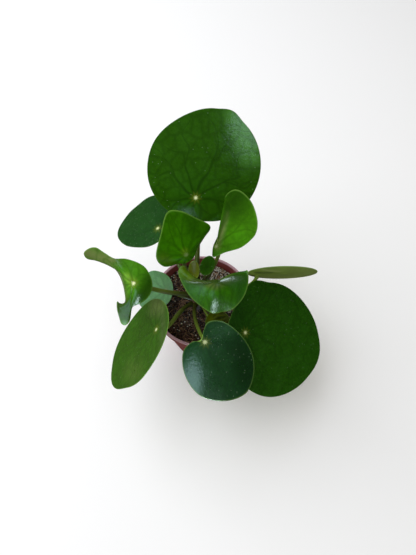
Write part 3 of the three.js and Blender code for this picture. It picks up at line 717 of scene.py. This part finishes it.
def disc_axes(r):
    """Directions towards a disc's tip, to its left, and out of its upper skin."""
    turns = ((r.bearing, "Z"), (-r.pitch, "Y"), (r.bank, "X"))
    z, y, x = (Matrix.Rotation(radians(angle), 3, axis) for angle, axis in turns)
    return np.array(z @ y @ x).T


def unit(v):
    """The vector, or each of the last axis's vectors, at length 1."""
    v = np.asarray(v, float)
    return v / (np.linalg.norm(v, axis=-1, keepdims=True) + 1e-9)


def closed_spline(points, count):
    """Rows on a closed centripetal Catmull-Rom curve, evenly spaced by their first three numbers."""
    p = np.asarray(points, float)
    n = len(p)
    gaps = [np.linalg.norm((p[(i + 1) % n] - p[i])[:3]) ** 0.5 for i in range(n)]
    out = []
    for i in range(n):
        p0, p1, p2, p3 = p[i - 1], p[i], p[(i + 1) % n], p[(i + 2) % n]
        g0, g1, g2 = gaps[i - 1], gaps[i], gaps[(i + 1) % n]
        m1 = (p1 - p0) / g0 - (p2 - p0) / (g0 + g1) + (p2 - p1) / g1
        m2 = (p2 - p1) / g1 - (p3 - p1) / (g1 + g2) + (p3 - p2) / g2
        for k in range(SPLINE_STEPS):
            s = k / SPLINE_STEPS
            out.append(
                (2 * s**3 - 3 * s**2 + 1) * p1 + (s**3 - 2 * s**2 + s) * m1 * g1
                + (3 * s**2 - 2 * s**3) * p2 + (s**3 - s**2) * m2 * g1
            )
    out = np.array(out)
    step = np.linalg.norm((np.roll(out, -1, 0) - out)[:, :3], axis=1)
    run = np.concatenate([[0], np.cumsum(step)])
    full = np.vstack([out, out[:1]])
    want = np.linspace(0, run[-1], count, endpoint=False)
    return np.stack([np.interp(want, run, full[:, k]) for k in range(p.shape[1])], -1)


def flat_way(points, w):
    """Unit directions of the points, square to w."""
    return unit(points - np.outer(points @ w, w))


def blade_margin(leaf, count):
    """Margin points from the joint, each rib's first direction, and the way that the blade faces."""
    handle = leaf.get("handle", HANDLE)
    if "margin" in leaf:
        w = unit(leaf["facing"])
        given = np.array([row[:3] for row in leaf["margin"]], float)
        plain = flat_way(given, w) * (np.linalg.norm(given, axis=1) * handle)[:, None]
        turned = [row[3:] if len(row) == 6 else way for row, way in zip(leaf["margin"], plain)]
        rows = closed_spline(np.hstack([given, np.array(turned) - plain]), count)
        rim, extra = rows[:, :3], rows[:, 3:]
    else:
        r = leaf["round"]
        tip, left, w = disc_axes(r)
        turn = np.linspace(0, 2 * pi, count, endpoint=False)
        swell = np.zeros(count)
        for angle, mm, width in r.bulges:
            off = (np.degrees(turn) - angle + 180) % 360 - 180
            swell += np.where(abs(off) < width, mm / 2 * (1 + np.cos(pi * off / width)), 0)
        along = r.diameter * (r.offset + 0.5 * np.cos(turn)) + swell * np.cos(turn)
        across = (r.diameter * 0.5 * r.wide + swell) * np.sin(turn)
        rim, extra = np.outer(along, tip) + np.outer(across, left) + r.lift * w, 0
    return rim, flat_way(rim, w) * (np.linalg.norm(rim, axis=1) * handle)[:, None] + extra, w


def blade_sheet(leaf, ribs):
    """Rings of points of the middle sheet, each rib's flat direction and length, and the way it faces."""
    rim, handle, w = blade_margin(leaf, ribs)
    s = RINGS[:, None, None]
    sheet = 2 * s * (1 - s) * handle + s * s * rim
    if "margin" in leaf:
        # the fleshy sheet evens out sharp creases between its ribs
        for _ in range(EVENING_PASSES):
            inner = sheet[1:-1]
            near = (np.roll(inner, 1, 1) + np.roll(inner, -1, 1) + sheet[:-2] + sheet[2:]) / 4
            sheet = np.concatenate([sheet[:1], inner * 0.5 + near * 0.5, sheet[-1:]])
    return sheet, flat_way(handle, w), np.linalg.norm(rim, axis=1), w


def blade(name, leaf, settings, skins, underside):
    """One blade: upper and lower skin over a middle sheet, with a rounded margin."""
    n = settings.ribs
    thick = settings.thickness / MM * (YOUNG_THINNESS if leaf["skin"] == "young" else 1)
    joint = np.array(leaf["joint"], float)
    sheet, flat, reach, w = blade_sheet(leaf, n)
    sheet += joint
    outward = np.concatenate([sheet[:1] - joint, sheet[2:] - sheet[:-2], sheet[-1:] - sheet[-2:-1]])
    normal = unit(np.cross(outward, np.roll(sheet, -1, 1) - np.roll(sheet, 1, 1)))
    blend = np.clip(1 - RINGS / FLAT_MIDDLE, 0, 1)[:, None, None]
    normal = unit(normal * (1 - blend) + w * blend)
    half = (thick / 2 * (1 - 0.5 * RINGS**2))[:, None, None]
    edge = []
    for angle in MARGIN_ANGLES:
        a = radians(angle)
        edge.append(sheet[-1] + half[-1] * (unit(outward[-1]) * cos(a) * 0.9 + normal[-1] * sin(a)))
    skin = np.concatenate([sheet + normal * half, edge, (sheet - normal * half)[::-1]])
    points = np.vstack([joint + w * (thick / 2 - DIMPLE), skin.reshape(-1, 3), joint - w * thick / 2])
    faces = shell_faces(n, len(skin))
    upper = n * (len(RINGS) + len(MARGIN_ANGLES) // 2)
    indices = [0] * upper + [1] * (len(faces) - upper)
    piece = mesh_piece(name + "_skin", points, faces, [skins[leaf["skin"]], underside], indices)

    # flat plan of the blade for the veins, and what else its material reads
    u_axis = unit(np.cross((0.3, 1.0, 0.2), w))
    direction = np.stack([flat @ u_axis, flat @ np.cross(w, u_axis)], -1)
    shares = np.concatenate([RINGS, np.ones(len(MARGIN_ANGLES)), RINGS[::-1]])[:, None]
    plan = (shares * reach)[:, :, None] * direction
    point_plan(piece, np.concatenate([[[0, 0]], plan.reshape(-1, 2), [[0, 0]]]) / PLAN_MM + 0.5)
    ends = [reach.mean()]
    point_values(piece, "margin", np.concatenate([ends, ((1 - shares) * reach).ravel(), ends]))
    point_values(piece, "share", np.concatenate([[0], np.repeat(shares, n), [0]]))
    point_values(piece, "navel", np.full(len(points), leaf.get("navel", NAVEL)))
    # its soft patches, with painted shade, light, highlights and reflections among them
    point_patches_and_painted_light(piece, name, points, joint)
    return piece


# Stalks and stem.


def stem_share(height):
    return (height - STEM_FOOT.z) / (STEM_TOP.z - STEM_FOOT.z)


def stem_radius(height):
    t = stem_share(height)
    taper = STEM_RADII[0] + (STEM_RADII[1] - STEM_RADII[0]) * t
    waist = 0.4 * (1 - abs(sin(STEM_SCARS * pi * t)))
    return (taper - waist) * min(1, 0.55 + 4 * (1 - t))


def stalk_path(leaf):
    """The four control points of a stalk, from the stem to the blade, in mm."""
    s = leaf["stalk"]
    away = Vector((cos(radians(s.bearing)), sin(radians(s.bearing)), 0))
    w = disc_axes(leaf["round"])[2] if "round" in leaf else unit(leaf["facing"])
    rise = Vector((0, 0, s.up)) + away * s.out
    reach = stem_radius(s.height) + s.radius * s.up / hypot(s.out, s.up)
    foot = STEM_FOOT.lerp(STEM_TOP, stem_share(s.height)) + away * reach
    end = Vector(leaf["joint"]) - Vector(w) * STALK_END
    return foot, foot + rise, end + Vector(s.seat), end


def stalk_tree(material):
    """Geometry nodes that sweep a stalk along its curve, flared at both ends."""
    t, given = new_tree("stalk along its path", ("Radius",), ("Sides", "Steps"))
    path = add(t, "GeometryNodeResampleCurve", {"Curve": given["Geometry"], "Count": given["Steps"]})
    along = add(t, "GeometryNodeSplineParameter").outputs["Factor"]
    width = times(t, calc(t, "SINE", times(t, along, pi / 2)), -0.25, 1)
    lumps = noise(t, add(t, "GeometryNodeInputPosition").outputs[0], 90, 1)
    for swelling in (
        ramp(t, along, (0, 0.06), (FOOT_FLARE, 0), "SMOOTHERSTEP"),
        ramp(t, along, (0.93, 1), (0, BLADE_FLARE), "SMOOTHSTEP"),
        times(t, lumps, 0.16, -0.08),
    ):
        width = calc(t, "ADD", width, swelling)
    kept = add(t, "GeometryNodeStoreNamedAttribute",
               {"Geometry": path.outputs[0], "Name": "along", "Value": along}, data_type="FLOAT", domain="POINT")
    ring = add(t, "GeometryNodeCurvePrimitiveCircle", {"Resolution": given["Sides"], "Radius": 1.0})
    swept = add(t, "GeometryNodeCurveToMesh", {
        "Curve": kept.outputs[0], "Profile Curve": ring.outputs[0], "Fill Caps": True,
        "Scale": times(t, width, given["Radius"]),
    })
    come_out(t, add(t, "GeometryNodeSetShadeSmooth", {0: swept.outputs[0]}).outputs[0], material)
    return t


def stem(settings):
    """The short trunk: swollen at each leaf scar, closed by a growing tip."""
    sides, steps, tip = 40, 150, Vector((0, 0, 0.6))
    points, ridges = [tuple(STEM_FOOT)], [0]
    for k in range(steps + 1):
        t = k / steps
        x, y, z = STEM_FOOT.lerp(STEM_TOP, t)
        for i in range(sides):
            a = 2 * pi * i / sides
            scar = abs(sin(STEM_SCARS * pi * t + 0.5 * sin(a + 2.4 * STEM_SCARS * t))) ** 3
            knob = 0.25 * sin(3 * a + 9 * t) * sin(31 * t + 2 * a)
            r = stem_radius(z) - 0.35 + 0.5 * scar + knob * (1 - t**6)
            points.append((x + r * cos(a), y + r * sin(a), z))
            ridges.append(scar)
    points.append(tuple(STEM_TOP + tip))
    faces = shell_faces(sides, steps + 1, True)
    piece = mesh_piece("stem_trunk", points, faces, [stem_bark(settings.bark, settings.scar)])
    point_values(piece, "ridge", [*ridges, 0])
    return piece


# Pot and soil.


def revolved(profile, sides, x=0.0, y=0.0):
    """Points and faces of a closed body turned from (radius, height) pairs that start and end on its axis."""
    rows = [circle(r, z, sides, x, y) for r, z in profile[1:-1]]
    return [(x, y, profile[0][1]), *sum(rows, []), (x, y, profile[-1][1])], shell_faces(sides, len(rows), True)


def rounded(profile, radius, steps=4):
    """The profile with its corners rounded."""
    out = [profile[0]]
    for before, here, after in zip(profile, profile[1:], profile[2:]):
        b, h, a = Vector(before), Vector(here), Vector(after)
        cut = min(radius, (b - h).length * 0.45, (a - h).length * 0.45)
        start, end = h + (b - h).normalized() * cut, h + (a - h).normalized() * cut
        for k in range(steps + 1):
            t = k / steps
            out.append(tuple(start * (1 - t) ** 2 + h * 2 * t * (1 - t) + end * t * t))
    return out + [profile[-1]]


def pot(settings):
    """The nursery pot: tapered wall, stepped skirt, rounded lip and drain holes in its base."""
    rim, base, height, lip = (getattr(settings, k) / MM for k in ("rim_radius", "base_radius", "height", "lip"))
    profile = [
        (0, 0), (base, 0), (SKIRT_RADIUS, SKIRT_HEIGHT), (SKIRT_RADIUS + 1.5, SKIRT_HEIGHT + 0.5),
        (rim - 0.7, height - 2.6), (rim, height - 2.2), (rim, height), (rim - lip, height),
        (rim - lip - 0.4, height - 3), (SKIRT_RADIUS - WALL, SKIRT_HEIGHT), (base - WALL + 0.3, FLOOR), (0, FLOOR),
    ]
    plastic = pot_plastic(settings.plastic, settings.lip_sheen)
    piece = mesh_piece("pot_shell", *revolved(rounded(profile, 0.8), 160), [plastic])
    low, high = HOLE_DEPTH
    pin = [(0, low), (HOLE_RADIUS, low), (HOLE_RADIUS, high), (0, high)]
    points, faces = [], []
    for i in range(DRAIN_HOLES):
        a = 2 * pi * (i + 0.5) / DRAIN_HOLES
        more, corners = revolved(pin, 32, HOLE_REACH * cos(a), HOLE_REACH * sin(a))
        faces += [tuple(c + len(points) for c in face) for face in corners]
        points += more
    cutter = mesh_piece("drain_hole_cutter", points, faces, [plastic])
    cut = piece.modifiers.new("drain holes", "BOOLEAN")
    cut.object, cut.operation, cut.solver = cutter, "DIFFERENCE", "EXACT"
    mesh = settled_mesh(piece)
    piece.modifiers.clear()
    piece.data = mesh
    mesh.name = "pot"
    bpy.data.objects.remove(cutter)
    mesh.set_sharp_from_angle(angle=radians(50))
    return piece


def inner_wall(z):
    return BASE_RADIUS + (SKIRT_RADIUS - BASE_RADIUS) * min(z, SKIRT_HEIGHT) / SKIRT_HEIGHT - WALL


def crumbs(x, y):
    """Height of the compost's crumbly top over its level, in mm."""
    waves = (
        sin(0.41 * x + 0.9) * cos(0.37 * y) + 0.6 * sin(0.83 * x - 0.55 * y)
        + 0.5 * cos(0.29 * x + 0.97 * y + 2)
    )
    fine = sin(2.1 * x + 1.3 * y) * sin(1.7 * y - 0.8 * x) + 0.5 * sin(3.9 * x) * cos(3.3 * y)
    return 0.55 * waves + 0.35 * fine


def soil(settings):
    """The compost, level but crumbly on top, and its bare top for what lies on it."""
    sides, rings = 150, 62
    wall = inner_wall(SOIL_LEVEL) - 0.15
    points = [(0, 0, SOIL_LEVEL + crumbs(0, 0))]
    for k in range(1, rings + 1):
        level = SOIL_LEVEL - (1.0 if k == rings else 0)  # the outermost ring sinks against the wall
        points += [(x, y, z + crumbs(x, y)) for x, y, z in circle(wall * k / rings, level, sides)]
    top_points = list(points)
    points += [*circle(inner_wall(SOIL_FLOOR) - 0.3, SOIL_FLOOR, sides), (0, 0, SOIL_FLOOR)]
    faces = shell_faces(sides, rings + 1)
    peat = earthy("damp peat compost", settings.peat, settings.crumb, 480.0, 0.95)
    body = mesh_piece("compost", points, faces, [peat])
    top = mesh_piece("compost_top", top_points, faces[: rings * sides], [peat])
    # grit lies thickest at the back right
    grit = [1 / (1 + exp(-(x * 0.5 + y * 0.75 - 17) / 4)) + 0.03 for x, y, _ in top_points]
    point_values(top, "grit", grit)
    return body, top


def scatter_tree(name, grain, material, follow=None):
    """Geometry nodes that strew over a surface what grain(tree) makes."""
    t, given = new_tree(name, ("Density", "Smallest", "Largest", "Roughening", "Sink"), ("Seed",))
    density = given["Density"]
    if follow:
        weight = add(t, "GeometryNodeInputNamedAttribute", {"Name": follow}, data_type="FLOAT").outputs[0]
        density = times(t, density, weight)
    strewn = add(t, "GeometryNodeDistributePointsOnFaces",
                 {"Mesh": given["Geometry"], "Density": density, "Seed": given["Seed"]}).outputs[0]
    turn, size = (
        add(t, "FunctionNodeRandomValue", {0: low, 1: high, "Seed": seed}, data_type="FLOAT_VECTOR").outputs[0]
        for low, high, seed in (
            ((-0.5, -0.5, 0.0), (0.5, 0.5, 2 * pi), 3), (given["Smallest"], given["Largest"], 5),
        )
    )
    grains = add(t, "GeometryNodeInstanceOnPoints",
                 {"Points": strewn, "Instance": grain(t), "Rotation": turn, "Scale": size}).outputs[0]
    real = add(t, "GeometryNodeRealizeInstances", {0: grains}).outputs[0]
    wild = noise(t, add(t, "GeometryNodeInputPosition").outputs[0], 700, 1, output=1)
    shove = vec(t, "SCALE", vec(t, "SUBTRACT", wild, (0.5, 0.5, 0.5)), scale=given["Roughening"])
    offset = vec(t, "ADD", shove, add(t, "ShaderNodeCombineXYZ", {2: given["Sink"]}).outputs[0])
    come_out(t, add(t, "GeometryNodeSetPosition", {"Geometry": real, "Offset": offset}).outputs[0], material)
    return t


def crumb_grain(tree):
    return add(tree, "GeometryNodeMeshIcoSphere", {"Radius": 0.5, "Subdivisions": 2}).outputs[0]


def fibre_grain(tree):
    bow = add(tree, "GeometryNodeCurveQuadraticBezier",
              {"Resolution": 8, "Start": (-0.5, 0, 0), "Middle": (0.05, 0.35, 0.12), "End": (0.5, -0.05, 0)})
    ring = add(tree, "GeometryNodeCurvePrimitiveCircle", {"Resolution": 5, "Radius": 0.03})
    return add(tree, "GeometryNodeCurveToMesh",
               {"Curve": bow.outputs[0], "Profile Curve": ring.outputs[0], "Fill Caps": True}).outputs[0]


# Operators, one for each group of pieces.


class MONEYPLANT_OT_blades(bpy.types.Operator):
    """Build the fourteen leaf blades"""

    bl_idname = "money_plant.blades"
    bl_label = "Leaf Blades"

    def execute(self, context):
        s = context.scene.money_plant_blades
        skins = {kind: leaf_skin(kind, s) for kind in SKINS}
        underside = leaf_underside(s)
        for name, leaf in LEAVES.items():
            hand_over(blade(name, leaf, s, skins, underside), "leaf_" + SKINS[leaf["skin"]][1], name + "_blade")
        return {"FINISHED"}


class MONEYPLANT_OT_stalks(bpy.types.Operator):
    """Build the leaf stalks"""

    bl_idname = "money_plant.stalks"
    bl_label = "Leaf Stalks"

    def execute(self, context):
        s = context.scene.money_plant_stalks
        tree = stalk_tree(stalk_skin(s.green, s.brown))
        for name, leaf in LEAVES.items():
            a, b, c, d = (p * MM for p in stalk_path(leaf))
            curve = bpy.data.curves.new(name + "_path", "CURVE")
            curve.dimensions = "3D"
            spline = curve.splines.new("BEZIER")
            spline.bezier_points.add(1)
            spline.resolution_u = 40
            first, second = spline.bezier_points
            first.co, first.handle_right, first.handle_left = a, b, a * 2 - b
            second.co, second.handle_left, second.handle_right = d, c, d * 2 - c
            values = {"Radius": leaf["stalk"].radius * MM, "Sides": s.sides, "Steps": s.steps}
            piece = made_by_nodes(name + "_sweep", placed(name + "_path", curve), tree, values)
            hand_over(piece, "leaf_stalk", name + "_stalk")
        return {"FINISHED"}


class MONEYPLANT_OT_stem(bpy.types.Operator):
    """Build the stem"""

    bl_idname = "money_plant.stem"
    bl_label = "Stem"

    def execute(self, context):
        hand_over(stem(context.scene.money_plant_stem), "stem_bark", "stem")
        return {"FINISHED"}


class MONEYPLANT_OT_pot(bpy.types.Operator):
    """Build the pot"""

    bl_idname = "money_plant.pot"
    bl_label = "Pot"

    def execute(self, context):
        hand_over(pot(context.scene.money_plant_pot), "terracotta_plastic", "pot")
        return {"FINISHED"}


class MONEYPLANT_OT_soil(bpy.types.Operator):
    """Build the compost, with its crumbs, fibres and grit"""

    bl_idname = "money_plant.soil"
    bl_label = "Compost"

    def execute(self, context):
        s = context.scene.money_plant_soil
        body, top = soil(s)
        hand_over(body, "peat_compost", "soil")
        crumb = earthy("crumbled peat", s.peat, s.crumb, 300.0, 0.95)
        fibre = earthy("dry root fibre", tuple(c * 0.4 for c in s.fibre), s.fibre, 90.0, 0.9)
        grit = earthy("pale horticultural grit", tuple(c * 0.6 for c in s.stone), s.stone, 240.0, 0.85)
        # the last four numbers are in mm
        for name, grain, material, follow, density, seed, *mm in (
            ("peat_crumbs", crumb_grain, crumb, None, s.lumps, 11, 0.9, 3.0, 1.0, 0.0),
            ("root_fibres", fibre_grain, fibre, None, s.fibres, 23, 3.0, 9.0, 0.8, 0.9),
            ("grit_grains", crumb_grain, grit, "grit", s.grit, 37, 0.8, 1.7, 0.5, 0.7),
        ):
            values = {"Density": float(density), "Seed": seed}
            values.update(zip(("Smallest", "Largest", "Roughening", "Sink"), (v * MM for v in mm)))
            ground = placed(name + "_ground", top.data.copy())
            strew = scatter_tree(name, grain, material, follow)
            hand_over(made_by_nodes(name, ground, strew, values), "peat_compost")
        bpy.data.objects.remove(top)
        return {"FINISHED"}


class MONEYPLANT_OT_stage(bpy.types.Operator):
    """Lay the floor, light it and set the camera"""

    bl_idname = "money_plant.stage"
    bl_label = "Stage"

    def execute(self, context):
        scene = context.scene
        s = scene.money_plant_stage
        material, t = new_material("plain matt floor")
        # white to the eye, and a warm tone in the shine of the leaves
        shine = add(t, "ShaderNodeLightPath").outputs["Is Glossy Ray"]
        shade(t, mix(t, shine, solid(s.floor), solid(s.table)), 0.9, Specular_IOR_Level=0.0)
        corners = [(x * FLOOR_HALF, y * FLOOR_HALF, 0) for x, y in ((-1, -1), (1, -1), (1, 1), (-1, 1))]
        mesh_piece("floor", corners, [(0, 1, 2, 3)], [material])

        # faint white light from all round, which the leaves don't mirror
        scene.world = world = bpy.data.worlds.new("studio")
        world.use_nodes = True
        background = world.node_tree.nodes["Background"]
        background.inputs[0].default_value = solid(linear("#fafafa"))
        background.inputs[1].default_value = 0.4
        world.cycles_visibility.glossy = False

        for name, place, width, height, power, tint, mirrored in LAMPS:
            light = bpy.data.lights.new(name, "AREA")
            light.shape = "RECTANGLE"
            light.size, light.size_y = width, height
            light.energy, light.color = power, linear(tint)
            lamp = placed(name, light)
            lamp.location = place
            lamp.rotation_euler = (LAMP_AIM - Vector(place)).to_track_quat("-Z", "Y").to_euler()
            lamp.visible_glossy = mirrored
            lamp.visible_diffuse = not mirrored
            lamp.visible_camera = False

        camera = placed("camera", bpy.data.cameras.new("camera"))
        camera.data.sensor_width = SENSOR
        camera.data.lens = SENSOR * FOCAL_PX / FRAME_PX
        camera.location = CAMERA_PLACE
        camera.rotation_euler = (radians(90 - CAMERA_DOWN), 0, 0)
        scene.camera = camera
        scene.view_settings.view_transform = "Standard"
        return {"FINISHED"}


class MONEYPLANT_PT_panel(bpy.types.Panel):
    """Settings and steps of the money plant"""

    bl_idname = "MONEYPLANT_PT_panel"
    bl_label = "Money Plant"
    bl_space_type = "VIEW_3D"
    bl_region_type = "UI"
    bl_category = "Money Plant"

    def draw(self, context):
        for key, kind in SETTINGS.items():
            box = self.layout.box()
            group = getattr(context.scene, key)
            for name in kind.__annotations__:
                box.prop(group, name)
            box.operator(key.replace("money_plant_", "money_plant."))


OPERATORS = (
    MONEYPLANT_OT_pot, MONEYPLANT_OT_soil, MONEYPLANT_OT_stem,
    MONEYPLANT_OT_stalks, MONEYPLANT_OT_blades, MONEYPLANT_OT_stage,
)


CLASSES = (*SETTINGS.values(), *OPERATORS, MONEYPLANT_PT_panel)


def register():
    for kind in CLASSES:
        bpy.utils.register_class(kind)
    for key, kind in SETTINGS.items():
        setattr(bpy.types.Scene, key, bpy.props.PointerProperty(type=kind))


def unregister():
    for key in SETTINGS:
        delattr(bpy.types.Scene, key)
    for kind in reversed(CLASSES):
        bpy.utils.unregister_class(kind)


def main():
    register()
    for kind in OPERATORS:
        getattr(bpy.ops.money_plant, kind.bl_idname.split(".")[1])()
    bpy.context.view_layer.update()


if __name__ == "__main__":
    main()
